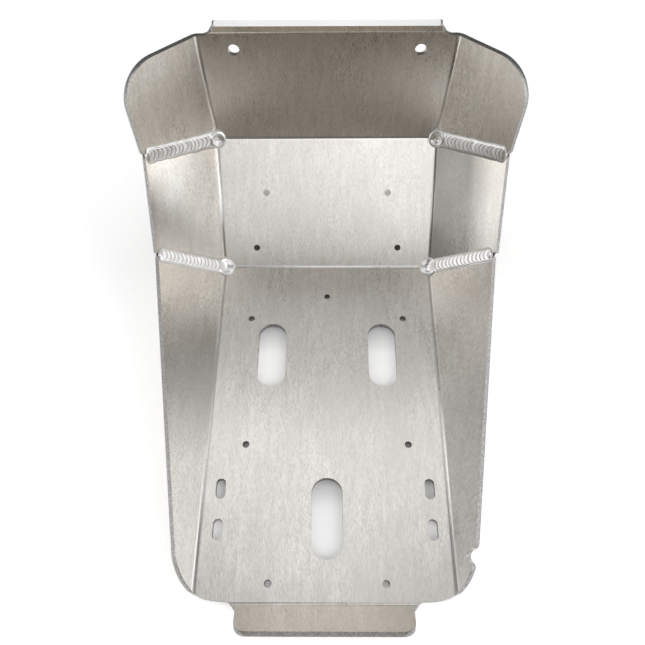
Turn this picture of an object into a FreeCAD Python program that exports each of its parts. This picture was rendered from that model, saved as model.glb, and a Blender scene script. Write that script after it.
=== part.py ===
"""Motorcycle skid plate, in millimetres.

One sheet of aluminium is cut out flat and folded into a tray: a floor that lies under the engine, a ramp
and a nose that climb in front of it, a small stiffening lip on top, a short tail tab behind, and side
wings along floor, ramp and nose. The wings of neighbouring panels meet in mitred seams. Each seam starts
in a round relief hole where the folds cross, and is closed by a rippled weld bead inside the tray.

X points to the right, Y forward and Z up. The floor lies flat on Z = 0, and the origin is on that plane, on
the middle line of the holes, halfway between the plate's front and back. Panel lengths and half widths are
measured on the inner face, between the lines where the inner faces would meet if the folds were sharp.
"""
import FreeCAD, Part
import math
import os
from collections import namedtuple

from FreeCAD import Vector

# Sheet and folds
sheet_thickness = 4.76
bend_radius = 3.0
ramp_fold = 48.0
nose_fold = 32.0
lip_fold = 36.0
tail_fold = 35.0
wing_fold = 45.0

# Panel lengths from fold to fold
floor_length = 269.5
ramp_length = 108.0
nose_length = 87.0
lip_length = 8.3
tail_length = 21.0

# Half widths at the wing folds, and of the lip
floor_half_width = 88.5
ramp_front_half_width = 90.0
nose_top_half_width = 95.0
lip_half_width = 81.6

# The sheet's free edge beside each end tab stands this far inside the tab's fold
nose_edge_step = 2.6
floor_edge_step = 1.8

# The two sides differ a little, because the tray is folded askew: the wings' widths at the front seam, at the
# rear seam above and below it, and at the tail, and the half widths of the floor's rear end and the tail tab
Side = namedtuple("Side", "front_seam rear_seam floor_seam wing_tail floor_rear tab notched")
left_side = Side(66.8, 64.9, 64.0, 10.7, 88.8, 59.9, False)
right_side = Side(64.5, 62.8, 61.0, 10.9, 85.8, 56.8, True)

# Rounding of the free corners
nose_corner_radius = 30.0
floor_corner_radius = 38.0
lip_corner_radius = 2.5
tail_corner_radius = 8.0
lip_root_radius = 10.0
tail_root_radius = 9.0

# Clearance notch in the right wing: its centre, from the tail fold and up from the wing fold, its radius, and
# the rounding of its mouth
notch_from_tail = 29.0
notch_height = 14.9
notch_radius = 4.5
notch_lead_radius = 4.2

# Holes: diameter, half spacing across, and place along the panel from its lower fold. The rear ones are
# placed from the tail fold
nose_hole_diameter = 8.4
nose_hole_half_spacing = 68.3
nose_hole_place = 74.1
ramp_hole_diameter = 5.3
ramp_upper_half_spacing = 50.8
ramp_upper_place = 64.0
ramp_lower_half_spacing = 60.4
ramp_lower_place = 17.3
floor_hole_diameter = 5.2
floor_front_half_spacing = 62.5
floor_front_place = 51.8
floor_middle_half_spacing = 60.2
floor_middle_place = 160.4
floor_rear_half_spacing = 39.5
floor_rear_from_tail = 12.5
drain_hole_diameter = 4.8
drain_hole_place = 30.2

# Slots along the floor: three large ones, and two small pairs near the wing folds, whose middle line is
# offset to the left
large_slot_width = 22.3
large_slot_length = 56.3
front_slot_half_spacing = 44.2
front_slot_place = 84.9
rear_slot_from_tail = 55.9
small_slot_width = 7.0
small_slot_length = 14.6
small_slot_half_spacing = 74.8
small_slot_offset = -1.3
small_slot_from_tail = 47.6
small_slot_pitch = 28.5

# Corner reliefs and seams
relief_radius = 5.0
seam_gap = 1.0

# Weld beads: a smooth bead with tilted ripples on its crown, and a ball-shaped end over the relief hole,
# with its top flattened to a crater
bead_half_width = 5.9
bead_crown = 0.9
bead_start = 4.0
bead_end_inset = 1.6
first_ripple = 10.5
ripple_pitch = 3.75
ripple_radius = 4.7
ripple_crown_radius = 9.5
ripple_tilt = 5.0
ripple_lift = 0.25
blob_radius = 10.5
blob_depth = 7.7
crater_depth = 0.7

# Long enough to cut through the sheet
through = 4.0 * sheet_thickness
outer_radius = bend_radius + sheet_thickness
middle_radius = bend_radius + sheet_thickness / 2.0

# A flat piece's own axes: two directions in its inner face, and the normal that points into the tray
Face = namedtuple("Face", "origin across along inward")


def spot(face, across, along, inward=0.0):
    """A point from its distances in a face's own axes."""
    return face.origin + face.across * across + face.along * along + face.inward * inward


def set_back(fold):
    """Distance from a fold's sharp line to where its round begins."""
    return bend_radius * math.tan(math.radians(fold) / 2.0)


def flat_stretch(fold):
    """Length of the round of a fold when the sheet is flat."""
    return middle_radius * math.radians(fold)


def unit(vector):
    return vector * (1.0 / vector.Length)


def outline_wire(face, path):
    """A closed wire in a face. Each step is a point, or a pair of a point passed through and an end."""
    points = [step if not isinstance(step[0], tuple) else step[1] for step in path]
    edges = []
    for number, step in enumerate(path):
        start = spot(face, *points[number - 1])
        end = spot(face, *points[number])
        if isinstance(step[0], tuple):
            edges.append(Part.Arc(start, spot(face, *step[0]), end).toShape())
        elif (end - start).Length > 0.001 * sheet_thickness:
            edges.append(Part.LineSegment(start, end).toShape())
    return Part.Wire(edges)


def plate(face, path):
    """A flat piece of the sheet: its inner outline, thickened towards the outside."""
    return Part.Face(outline_wire(face, path)).extrude(face.inward * -sheet_thickness)


def bend(centre, from_radial, to_radial, run):
    """The round of a fold, between two radial directions, along the vector run."""
    middle = unit(from_radial + to_radial)
    inner = [centre + radial * bend_radius for radial in (from_radial, middle, to_radial)]
    outer = [centre + radial * outer_radius for radial in (from_radial, middle, to_radial)]
    edges = [
        Part.Arc(*inner).toShape(),
        Part.LineSegment(inner[2], outer[2]).toShape(),
        Part.Arc(*reversed(outer)).toShape(),
        Part.LineSegment(outer[0], inner[0]).toShape(),
    ]
    return Part.Face(Part.Wire(edges)).extrude(run)


def bend_trimmer(centre, from_radial, to_radial, axis, from_place, to_place):
    """What lies beyond an outline that crosses a fold: it leaves the round's first straight side at
    from_place along the axis, and reaches its second one at to_place."""
    reach = 4.0 * outer_radius
    near, far = 0.4 * bend_radius, 1.6 * outer_radius
    wires = []
    for radial, place in ((from_radial, from_place), (to_radial, to_place)):
        corners = [
            centre + radial * near + axis * place,
            centre + radial * far + axis * place,
            centre + radial * far + axis * (place + reach),
            centre + radial * near + axis * (place + reach),
        ]
        wires.append(Part.makePolygon(corners + corners[:1]))
    return Part.makeLoft(wires, True, True)


def mirrored(shape):
    return shape.mirror(Vector(0, 0, 0), Vector(1, 0, 0))


def joined_and_cut(shapes, cuts):
    """One solid from shapes that touch, with the cuts taken out and its faces merged where they run on."""
    return shapes[0].multiFuse(shapes[1:]).cut(cuts).removeSplitter()


def arc_through(centre, radius, start, end):
    """A point halfway round an arc, and its end, as an outline step. All are pairs of numbers."""
    from_angle = math.atan2(start[1] - centre[1], start[0] - centre[0])
    turn = math.atan2(end[1] - centre[1], end[0] - centre[0]) - from_angle
    turn = (turn + math.pi) % (2.0 * math.pi) - math.pi
    angle = from_angle + turn / 2.0
    return (centre[0] + radius * math.cos(angle), centre[1] + radius * math.sin(angle)), end


def slope_face(origin, degrees, forward):
    """The face of a panel that climbs by an angle, forward or backward, from an origin on the mid-plane."""
    angle = math.radians(degrees)
    along = Vector(0, forward * math.cos(angle), math.sin(angle))
    inward = Vector(0, -forward * math.sin(angle), math.cos(angle))
    return Face(origin, Vector(1, 0, 0), along, inward)


def centred_origin():
    """The ramp fold's place, such that the plate's front and back are equally far from Y = 0."""
    ramp_angle = math.radians(ramp_fold)
    nose_angle = math.radians(ramp_fold + nose_fold)
    tail_angle = math.radians(tail_fold)
    nose_run = nose_length - set_back(lip_fold)
    front = ramp_length * math.cos(ramp_angle) + nose_run * math.cos(nose_angle)
    front += outer_radius - bend_radius * math.sin(nose_angle)
    back = floor_length + tail_length * math.cos(tail_angle) + sheet_thickness * math.sin(tail_angle)
    return Vector(0, (back - front) / 2.0, sheet_thickness)


# The panels' faces: each panel's slope is the sum of the folds before it
ramp_line = centred_origin()
floor = slope_face(ramp_line, 0.0, -1.0)
ramp = slope_face(ramp_line, ramp_fold, 1.0)
nose = slope_face(spot(ramp, 0, ramp_length), ramp_fold + nose_fold, 1.0)
lip = slope_face(spot(nose, 0, nose_length), ramp_fold + nose_fold + lip_fold, 1.0)
tail = slope_face(spot(floor, 0, floor_length), tail_fold, -1.0)


def cross_bend(lower, upper, fold, half_width):
    """The right half of a fold that runs across the tray, at the upper face's origin."""
    centre = spot(upper, 0, set_back(fold), bend_radius)
    return bend(centre, lower.inward * -1.0, upper.inward * -1.0, Vector(half_width, 0, 0))


class EndTab:
    """The right half of a tab that is narrower than the panel it is folded from, with round roots."""

    def __init__(self, panel, tab, length, step, fold, half_width, root_radius, corner_radius, reach):
        self.edge = length - step
        self.fold_start = length - set_back(fold)
        self.root_centre = (half_width + root_radius, self.edge + root_radius)
        self.root_radius = root_radius
        stretch = flat_stretch(fold)
        first_place = self.root_place(self.fold_start)
        second_place = self.root_place(self.fold_start + stretch)
        centre = spot(tab, 0, set_back(fold), bend_radius)
        first, second = panel.inward * -1.0, tab.inward * -1.0
        round_part = bend(centre, first, second, Vector(self.root_centre[0], 0, 0))
        trimmer = bend_trimmer(centre, first, second, Vector(1, 0, 0), first_place, second_place)
        self.bend = round_part.cut(trimmer)
        base = set_back(fold)
        flat_base = self.fold_start + stretch - base
        root_end = (half_width, self.root_centre[1] - flat_base)
        root_centre = (self.root_centre[0], root_end[1])
        corner_centre = (half_width - corner_radius, reach - corner_radius)
        self.plate = plate(tab, [
            (0.0, base),
            (second_place, base),
            arc_through(root_centre, root_radius, (second_place, base), root_end),
            (half_width, corner_centre[1]),
            arc_through(corner_centre, corner_radius, (half_width, corner_centre[1]),
                        (corner_centre[0], reach)),
            (0.0, reach),
        ])
        self.first_place = first_place

    def root_place(self, along):
        """Half width of the root's round at a distance along the flat sheet."""
        rise = self.root_centre[1] - along
        return self.root_centre[0] - math.sqrt(self.root_radius ** 2 - rise ** 2)

    def panel_steps(self):
        """The steps of the panel's outline from its free edge into the root and along the fold."""
        start = (self.root_centre[0], self.edge)
        end = (self.first_place, self.fold_start)
        return [start, arc_through(self.root_centre, self.root_radius, start, end), (0.0, self.fold_start)]


class Wing:
    """The right wing of a panel: the axes of its fold and of its flat."""

    def __init__(self, panel, start_half_width, end_half_width, length):
        start = spot(panel, start_half_width, 0)
        run = spot(panel, end_half_width, length) - start
        self.along = unit(run)
        self.length = run.Length
        outward = panel.across - self.along * panel.across.dot(self.along)
        outward = unit(outward)
        angle = math.radians(wing_fold)
        self.panel = panel
        self.outward = outward
        rise = outward * math.cos(angle) + panel.inward * math.sin(angle)
        inward = panel.inward * math.cos(angle) - outward * math.sin(angle)
        self.face = Face(start, self.along, rise, inward)
        self.base = set_back(wing_fold)
        self.bend_centre = start - outward * self.base + panel.inward * bend_radius

    def bend(self, start, end):
        """The round of the wing's fold between two places along it."""
        centre = self.bend_centre + self.along * start
        return bend(centre, self.panel.inward * -1.0, self.face.inward * -1.0, self.along * (end - start))

    def trimmer(self, panel_place, wing_place):
        return bend_trimmer(self.bend_centre, self.panel.inward * -1.0, self.face.inward * -1.0,
                            self.along, panel_place, wing_place)

    def panel_point(self, along):
        """The panel's edge beside the fold's round, at a distance along the panel, in its own axes."""
        slant = self.along.dot(self.panel.across) / self.along.dot(self.panel.along)
        edge = self.bend_centre - self.panel.origin
        start_across, start_along = edge.dot(self.panel.across), edge.dot(self.panel.along)
        return start_across + slant * (along - start_along), along

    def corner(self, at_end):
        return self.face.origin + self.along * (self.length if at_end else 0.0)


class Seam:
    """The line in which two wings meet, starting at the corner where their folds cross."""

    def __init__(self, first, first_at_end, second, width):
        self.corner = first.corner(first_at_end)
        self.first, self.second = first, second
        direction = unit(first.face.inward.cross(second.face.inward))
        if direction.dot(first.face.along) < 0:
            direction = direction * -1.0
        self.direction = direction
        self.length = width / direction.dot(first.face.along)
        self.faces = [first.panel, second.panel, first.face, second.face]
        normals = [face.inward for face in self.faces]
        self.inward = unit(normals[0] + normals[1] + normals[2] + normals[3])

    def edge_point(self, wing, rise):
        """A point on a wing's mitred edge at a height up the wing, in the wing's own axes."""
        lean = self.direction.dot(wing.along) / self.direction.dot(wing.face.along)
        gap = math.copysign(seam_gap / 2.0 * math.sqrt(1.0 + lean ** 2), lean)
        start = (self.corner - wing.face.origin).dot(wing.along)
        return start + lean * rise + gap, rise

    def relief(self):
        """The round hole where the folds cross, through the sheet."""
        start = self.corner - self.inward * through
        return Part.makeCylinder(relief_radius, 2.0 * through, start, self.inward)

    def inside(self, shape, depth):
        """What is left of a shape inside the four faces, moved outwards by a depth."""
        for face in self.faces:
            box = Part.makeBox(2.0 * through, 2.0 * through, through, Vector(-through, -through, -through))
            box.Placement = FreeCAD.Placement(self.corner - face.inward * depth,
                                              FreeCAD.Rotation(Vector(0, 0, 1), face.inward))
            shape = shape.cut(box)
        return shape

    def bead(self, sheet):
        """The weld metal: bead, round end, plug in the relief hole, and ripples, fitted to the sheet."""
        along = self.direction
        crown_way = unit(self.first.face.inward + self.second.face.inward)
        half_angle = self.first.face.inward.getAngle(self.second.face.inward) / 2.0
        across = unit(self.first.face.inward - self.second.face.inward)
        sides = []
        for face, sign in ((self.first.face, -1.0), (self.second.face, 1.0)):
            way = across * (sign * math.cos(half_angle)) + crown_way * math.sin(half_angle)
            sides.append((way * bead_half_width, way * (seam_gap / 2.0), face.inward * -sheet_thickness))
        (first_toe, first_root, first_out), (second_toe, second_root, second_out) = sides
        toe_rise = crown_way * (bead_half_width * math.sin(half_angle))
        crown = toe_rise + crown_way * bead_crown
        ridge = crown_way * (-sheet_thickness / math.cos(half_angle))
        start = self.corner + along * bead_start
        section = Part.Wire([
            Part.Arc(start + first_toe, start + crown, start + second_toe).toShape(),
            Part.makePolygon([
                start + second_toe,
                start + second_root,
                start + second_root + second_out,
                start + ridge,
                start + first_root + first_out,
                start + first_root,
                start + first_toe,
            ]),
        ])
        run = self.length - bead_end_inset - bead_start
        bar = Part.Face(section).extrude(along * run)

        blob_centre = self.corner - self.inward * blob_depth
        ball = Part.makeSphere(blob_radius, blob_centre)
        below_crater = Part.makeCylinder(blob_radius, 2.0 * blob_radius - crater_depth,
                                         blob_centre - self.inward * blob_radius, self.inward)
        ball = ball.common(below_crater)
        plug = self.inside(ball, sheet_thickness).common(self.relief())
        cap = self.inside(ball, 0.0)

        tilt = math.radians(ripple_tilt)
        ripples = []
        count = int((self.length - bead_end_inset - ripple_radius - first_ripple) / ripple_pitch)
        for number in range(count + 1):
            foot = self.corner + along * (first_ripple + number * ripple_pitch)
            post = Part.makeCylinder(ripple_radius, 2.0 * ripple_radius, foot + toe_rise, crown_way)
            axis = along * -math.cos(tilt) + crown_way * math.sin(tilt)
            top = foot + crown + crown_way * (ripple_lift - ripple_crown_radius)
            tube = Part.makeCylinder(ripple_crown_radius, 6.0 * ripple_radius,
                                     top - axis * (3.0 * ripple_radius), axis)
            ripples.append(post.common(tube))
        return bar.multiFuse(ripples + [plug, cap]).cut(sheet)


ramp_wing = Wing(ramp, floor_half_width, ramp_front_half_width, ramp_length)
nose_wing = Wing(nose, ramp_front_half_width, nose_top_half_width, nose_length)
lip_tab = EndTab(nose, lip, nose_length, nose_edge_step, lip_fold,
                 lip_half_width, lip_root_radius, lip_corner_radius, lip_length)


class RearCorner:
    """The large round corner where the floor's rear edge runs over the fold into the wing's free edge. It is
    worked out on the flat sheet, in the floor's axes, and in the fold's: along it and out from it."""

    def __init__(self, wing, tab, seam_end, tail_width):
        self.fold_way = (wing.along.dot(floor.across), wing.along.dot(floor.along))
        self.fold_start = (wing.face.origin - floor.origin).dot(floor.across)
        gain = flat_stretch(wing_fold) - 2.0 * wing.base
        seam_x, seam_y = self.flat_point(seam_end[0], seam_end[1] + gain)
        tail_x, tail_y = self.flat_point(floor_length, tail_width + gain)
        length = math.hypot(tail_x - seam_x, tail_y - seam_y)
        way_in = ((seam_y - tail_y) / length, (tail_x - seam_x) / length)
        depth = tab.edge - seam_y
        room = ((tab.root_centre[0] - seam_x) * way_in[0] + depth * way_in[1]) / (1.0 + way_in[1])
        self.radius = radius = min(floor_corner_radius, room)
        across = seam_x + (radius - (depth - radius) * way_in[1]) / way_in[0]
        self.panel_centre = (across, tab.edge - radius)
        self.panel_end = (across, tab.edge)
        centre_place, self.centre_side = self.fold_point(self.panel_centre)
        self.wing_centre = (centre_place, self.centre_side - gain)
        touch = self.fold_point((across - way_in[0] * radius, tab.edge - radius - way_in[1] * radius))
        self.wing_start = (touch[0], touch[1] - gain)
        self.wing_end = (centre_place + self.run(wing.base + gain), wing.base)
        self.panel_place = centre_place + self.run(-wing.base)
        self.panel_start = self.flat_point(self.panel_place, -wing.base)

    def flat_point(self, place, side):
        x_way, y_way = self.fold_way
        return (self.fold_start + x_way * place + y_way * side, y_way * place - x_way * side)

    def fold_point(self, point):
        x_way, y_way = self.fold_way
        x, y = point[0] - self.fold_start, point[1]
        return (x * x_way + y * y_way, x * y_way - y * x_way)

    def run(self, side):
        return math.sqrt(self.radius ** 2 - (side - self.centre_side) ** 2)


def towards(start, end, distance):
    """The point at a distance from a start, on the way to an end. All points are pairs of numbers."""
    share = distance / math.hypot(end[0] - start[0], end[1] - start[1])
    return start[0] + (end[0] - start[0]) * share, start[1] + (end[1] - start[1]) * share


def crossing(first, first_radius, second, second_radius):
    """Where two circles cross, on the right of the way from the first centre to the second."""
    gap = math.hypot(second[0] - first[0], second[1] - first[1])
    way = ((second[0] - first[0]) / gap, (second[1] - first[1]) / gap)
    run = (first_radius ** 2 - second_radius ** 2 + gap ** 2) / (2.0 * gap)
    side = math.sqrt(first_radius ** 2 - run ** 2)
    return first[0] + way[0] * run + way[1] * side, first[1] + way[1] * run - way[0] * side


def notch_steps(seam_end, corner):
    """The steps of the round bite that starts in the wing's straight free edge and ends in its round corner,
    the bite's mouth rounded over."""
    centre = (floor_length - notch_from_tail, notch_height)
    reach = notch_radius + notch_lead_radius
    length = math.hypot(corner.wing_start[0] - seam_end[0], corner.wing_start[1] - seam_end[1])
    way = ((corner.wing_start[0] - seam_end[0]) / length, (corner.wing_start[1] - seam_end[1]) / length)
    x, y = centre[0] - seam_end[0], centre[1] - seam_end[1]
    depth = x * way[1] - y * way[0]
    place = x * way[0] + y * way[1] - math.sqrt(reach ** 2 - (depth - notch_lead_radius) ** 2)
    mouth_start = (seam_end[0] + way[0] * place, seam_end[1] + way[1] * place)
    lead_in = (mouth_start[0] + way[1] * notch_lead_radius, mouth_start[1] - way[0] * notch_lead_radius)
    lead_out = crossing(corner.wing_centre, corner.radius - notch_lead_radius, centre, reach)
    bottom = (centre[0] + way[1] * notch_radius, centre[1] - way[0] * notch_radius)
    bottom_start = towards(centre, lead_in, notch_radius)
    bottom_end = towards(centre, lead_out, notch_radius)
    mouth_end = towards(corner.wing_centre, lead_out, corner.radius)
    return [
        mouth_start,
        arc_through(lead_in, notch_lead_radius, mouth_start, bottom_start),
        (bottom, bottom_end),
        arc_through(lead_out, notch_lead_radius, bottom_end, mouth_end),
        arc_through(corner.wing_centre, corner.radius, mouth_end, corner.wing_end),
    ]


class Half:
    """One side of the sheet, folded as the right one, with its own widths."""

    def __init__(self, side):
        self.side = side
        self.floor_wing = Wing(floor, floor_half_width, side.floor_rear, floor_length)
        self.rear_seam = Seam(self.floor_wing, False, ramp_wing, min(side.floor_seam, side.rear_seam))
        self.front_seam = Seam(ramp_wing, True, nose_wing, side.front_seam)
        self.tail_tab = EndTab(floor, tail, floor_length, floor_edge_step, tail_fold,
                               side.tab, tail_root_radius, tail_corner_radius, tail_length)
        parts = self.floor_parts() + self.ramp_parts() + self.nose_parts()
        parts += [lip_tab.bend, lip_tab.plate, self.tail_tab.bend, self.tail_tab.plate]
        self.shape = joined_and_cut(parts, [self.rear_seam.relief(), self.front_seam.relief()])

    def floor_parts(self):
        start = set_back(ramp_fold)
        wing = self.floor_wing
        seam_end = self.rear_seam.edge_point(wing, self.side.floor_seam)
        corner = RearCorner(wing, self.tail_tab, seam_end, self.side.wing_tail)
        outline = [(0.0, start), wing.panel_point(start), corner.panel_start,
                   arc_through(corner.panel_centre, corner.radius, corner.panel_start, corner.panel_end)]
        outline += self.tail_tab.panel_steps()
        wing_outline = [self.rear_seam.edge_point(wing, wing.base), seam_end]
        if self.side.notched:
            wing_outline += notch_steps(seam_end, corner)
        else:
            round_step = arc_through(corner.wing_centre, corner.radius, corner.wing_start, corner.wing_end)
            wing_outline += [corner.wing_start, round_step]
        fold = wing.bend(start, floor_length)
        fold = fold.cut(wing.trimmer(corner.panel_place, corner.wing_end[0]))
        return [plate(floor, outline), fold, plate(wing.face, wing_outline)]

    def ramp_parts(self):
        start, end = set_back(ramp_fold), ramp_length - set_back(nose_fold)
        outline = [(0.0, start), ramp_wing.panel_point(start), ramp_wing.panel_point(end), (0.0, end)]
        wing_outline = [
            self.rear_seam.edge_point(ramp_wing, ramp_wing.base),
            self.front_seam.edge_point(ramp_wing, ramp_wing.base),
            self.front_seam.edge_point(ramp_wing, self.side.front_seam),
            self.rear_seam.edge_point(ramp_wing, self.side.rear_seam),
        ]
        fold = ramp_wing.bend(start, ramp_wing.length - set_back(nose_fold))
        cross = cross_bend(floor, ramp, ramp_fold, ramp_wing.panel_point(start)[0])
        return [plate(ramp, outline), fold, plate(ramp_wing.face, wing_outline), cross]

    def nose_parts(self):
        start = set_back(nose_fold)
        top = lip_tab.edge / nose_wing.along.dot(nose.along)
        top_edge = nose_wing.bend_centre + nose_wing.along * top - nose.origin
        outline = [(0.0, start), nose_wing.panel_point(start),
                   (top_edge.dot(nose.across), top_edge.dot(nose.along))]
        outline += lip_tab.panel_steps()
        radius, width = nose_corner_radius, self.side.front_seam
        wing_outline = [
            self.front_seam.edge_point(nose_wing, nose_wing.base),
            (top, nose_wing.base),
            (top, width - radius),
            arc_through((top - radius, width - radius), radius, (top, width - radius), (top - radius, width)),
            self.front_seam.edge_point(nose_wing, width),
        ]
        cross = cross_bend(ramp, nose, nose_fold, nose_wing.panel_point(start)[0])
        return [plate(nose, outline), nose_wing.bend(start, top), plate(nose_wing.face, wing_outline), cross]


def hole(face, across, along, diameter):
    start = spot(face, across, along, -through)
    return Part.makeCylinder(diameter / 2.0, 2.0 * through, start, face.inward)


def slot(face, across, along, width, length):
    """A slot with round ends, through the sheet, centred at a point of a panel."""
    radius, half = width / 2.0, length / 2.0 - width / 2.0
    path = [
        (across - radius, along + half),
        (across - radius, along - half),
        ((across, along - half - radius), (across + radius, along - half)),
        (across + radius, along + half),
        ((across, along + half + radius), (across - radius, along + half)),
    ]
    wire = outline_wire(face, path)
    wire.translate(face.inward * -through)
    return Part.Face(wire).extrude(face.inward * (2.0 * through))


def openings():
    """Every hole and slot, on both sides of the middle."""
    cuts = [hole(floor, 0.0, drain_hole_place, drain_hole_diameter)]
    cuts.append(slot(floor, 0.0, floor_length - rear_slot_from_tail, large_slot_width, large_slot_length))
    for side in (-1.0, 1.0):
        cuts.append(hole(nose, side * nose_hole_half_spacing, nose_hole_place, nose_hole_diameter))
        for half_spacing, place in ((ramp_upper_half_spacing, ramp_upper_place),
                                    (ramp_lower_half_spacing, ramp_lower_place)):
            cuts.append(hole(ramp, side * half_spacing, place, ramp_hole_diameter))
        for half_spacing, place in ((floor_front_half_spacing, floor_front_place),
                                    (floor_middle_half_spacing, floor_middle_place),
                                    (floor_rear_half_spacing, floor_length - floor_rear_from_tail)):
            cuts.append(hole(floor, side * half_spacing, place, floor_hole_diameter))
        cuts.append(slot(floor, side * front_slot_half_spacing, front_slot_place,
                         large_slot_width, large_slot_length))
        for from_tail in (small_slot_from_tail, small_slot_from_tail + small_slot_pitch):
            cuts.append(slot(floor, side * small_slot_half_spacing + small_slot_offset,
                             floor_length - from_tail, small_slot_width, small_slot_length))
    return cuts


def write(name, shape):
    solids = shape.Solids
    if len(solids) != 1 or not shape.isValid():
        raise RuntimeError(name + " is not one sound solid")
    solids[0].exportStep(os.path.join("parts", name + ".step"))
    print(name, round(solids[0].Volume, 1), solids[0].BoundBox)


os.makedirs("parts", exist_ok=True)
right_half, left_half = Half(right_side), Half(left_side)
sheet = joined_and_cut([right_half.shape, mirrored(left_half.shape)], openings())
write("skid_plate", sheet)
write("weld_front_right", right_half.front_seam.bead(sheet))
write("weld_rear_right", right_half.rear_seam.bead(sheet))
write("weld_front_left", mirrored(left_half.front_seam.bead(mirrored(sheet))))
write("weld_rear_left", mirrored(left_half.rear_seam.bead(mirrored(sheet))))
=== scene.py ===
"""Looks of the motorcycle skid plate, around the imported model: procedural aluminium for the folded sheet, a
finer bead in place of each packed weld, and a plain studio with a pale floor."""
import math

import bpy
import numpy as np
from mathutils import Matrix, Vector


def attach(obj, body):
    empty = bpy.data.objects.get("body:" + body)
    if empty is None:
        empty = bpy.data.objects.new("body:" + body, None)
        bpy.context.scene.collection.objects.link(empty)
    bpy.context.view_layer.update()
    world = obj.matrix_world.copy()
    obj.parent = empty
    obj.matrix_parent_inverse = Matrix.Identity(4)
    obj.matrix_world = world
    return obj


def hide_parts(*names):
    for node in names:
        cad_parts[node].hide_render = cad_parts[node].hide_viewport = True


MM = 0.001

# Camera: place in metres, angles in degrees, lens from the focal length in picture widths
CAMERA_PLACE = (0.00025, -0.22322, 0.45971)
CAMERA_YAW, CAMERA_DOWN, CAMERA_ROLL = 0.87, 59.639, 0.74
FOCAL_WIDTHS = 639.16 / 645.0
SENSOR, CLIP_START = 36.0, 0.01

# The sheet's shape where the looks and the welds need it, in millimetres and degrees
THICKNESS = 4.76
RAMP_FOLD, NOSE_FOLD, WING_FOLD = 48.0, 32.0, 45.0
RAMP_LINE = (0.0, 98.7113, 4.76)
RAMP_LENGTH, NOSE_LENGTH = 108.0, 87.0
FLOOR_LENGTH, FLOOR_HALF, RAMP_FRONT_HALF, NOSE_TOP_HALF = 269.5, 88.5, 90.0, 95.0
RELIEF_RADIUS, SEAM_GAP, BEND_RADIUS = 5.0, 1.0, 3.0

# What differs from side to side: the floor's half width at the tail, and the widths of the wings at the seams
SIDES = {
    "left": {"floor_rear": 88.8, "rear": 64.0, "front": 66.8},
    "right": {"floor_rear": 85.8, "rear": 61.0, "front": 64.5},
}

# Softened edges of the sheet: lengths in metres, angles in degrees
MERGE_DISTANCE, FLAT_ANGLE = 0.000002, 0.3
EDGE_WIDTH, EDGE_SEGMENTS, EDGE_ANGLE = 0.0004, 2, 40.0

# How the faces that the cutting left are told from the others: by the lean of their normals, and by place in
# metres. A wall of an opening ends just below the floor's upper face
RIM_LEAN, LEVEL_LEAN, UPRIGHT_LEAN, TAIL_LEAN, LIP_LEAN = 0.25, 0.9, 0.3, -0.6, 0.8
LEVEL_FROM, TAIL_FROM, LIP_FROM, LIP_HALF = 0.06, -0.18, 0.17, 0.0816
WALL_SHARE = 0.97

# Grain of the sheet: waves per metre in X, Y and Z, the share of each layer of streaks, and the part of each
# noise's values that is used
STREAKS, FINE_STREAKS, BROAD_STREAKS = (1500.0, 330.0, 330.0), (3200.0, 500.0, 500.0), (240.0, 45.0, 45.0)
STREAK_SHARE, FINE_SHARE, BROAD_SHARE = 0.55, 0.2, 0.25
CLOUDS, MOTTLE = (26.0, 16.0, 16.0), (800.0, 800.0, 800.0)
STREAK_RANGE, CLOUD_RANGE, ROUGH_RANGE = (0.38, 0.62), (0.35, 0.65), (0.3, 0.7)
GRAIN_DEPTH, GRAIN_STRENGTH = 0.00002, 0.3

# Tones and roughness of the sheet
STREAK_DARK, STREAK_BRIGHT = (0.69, 0.66, 0.62, 1), (1.0, 0.98, 0.945, 1)
CLOUD_TONE, CLOUD_SHARE = (0.82, 0.785, 0.74, 1), 0.5
CUT_DARK, CUT_BRIGHT = (0.42, 0.41, 0.40, 1), (0.80, 0.79, 0.78, 1)
# The lip's near-white tone is a painted highlight on its upward face
LIP_HIGHLIGHT_TONE = (1.0, 1.0, 0.995, 1)
# A painted warm reflection on the nose: no tint, the tint, and the heights in metres over which it comes in
NO_TINT, NOSE_REFLECTION_TINT = (1, 1, 1, 1), (1.0, 0.975, 0.935, 1)
NOSE_REFLECTION_FROM, NOSE_REFLECTION_TO = 0.080, 0.105
SHEET_ROUGH, CLOUD_ROUGH, CUT_ROUGH = (0.27, 0.33), (-0.03, 0.03), 0.12

# Painted highlights and painted shade along the inside of the folds: their reach in millimetres, and their
# tones
FOLD_LINE_REACH = 1.1
FOLD_SHADE_TONE, FOLD_HIGHLIGHT_TONE = (0.55, 0.54, 0.52, 1), (1.0, 0.995, 0.985, 1)

# Painted shade on the inner part of the right ramp wing, darker than its outer band: it ends between these
# places across, in metres
PAINTED_SHADE_DEPTH, PAINTED_SHADE_FULL, PAINTED_SHADE_END = 0.56, 0.113, 0.127

# Scratches on the right floor wing: their turn in degrees, waves per metre across and along them, the part of
# the noise that shows as marks, the same for the patches they come in, and where they fade out, in metres
SCRATCH_TURN, SCRATCH_WAVES, SCRATCH_RANGE = -38.0, (1500.0, 170.0), (0.52, 0.70)
PATCH_WAVES, PATCH_RANGE, PATCH_LEAST = (22.0, 22.0, 22.0), (0.35, 0.6), 0.25
SCRATCH_FADE = (0.04, 0.09)
SCRATCH_TONE = (1.0, 0.985, 0.96, 1)

# Looks of the weld metal
WELD_WAVES, WELD_BUMP, WELD_STRENGTH = (260.0, 260.0, 260.0), 0.0001, 0.4
WELD_DARK, WELD_BRIGHT = (0.90, 0.895, 0.885, 1), (0.99, 0.99, 0.985, 1)
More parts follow.
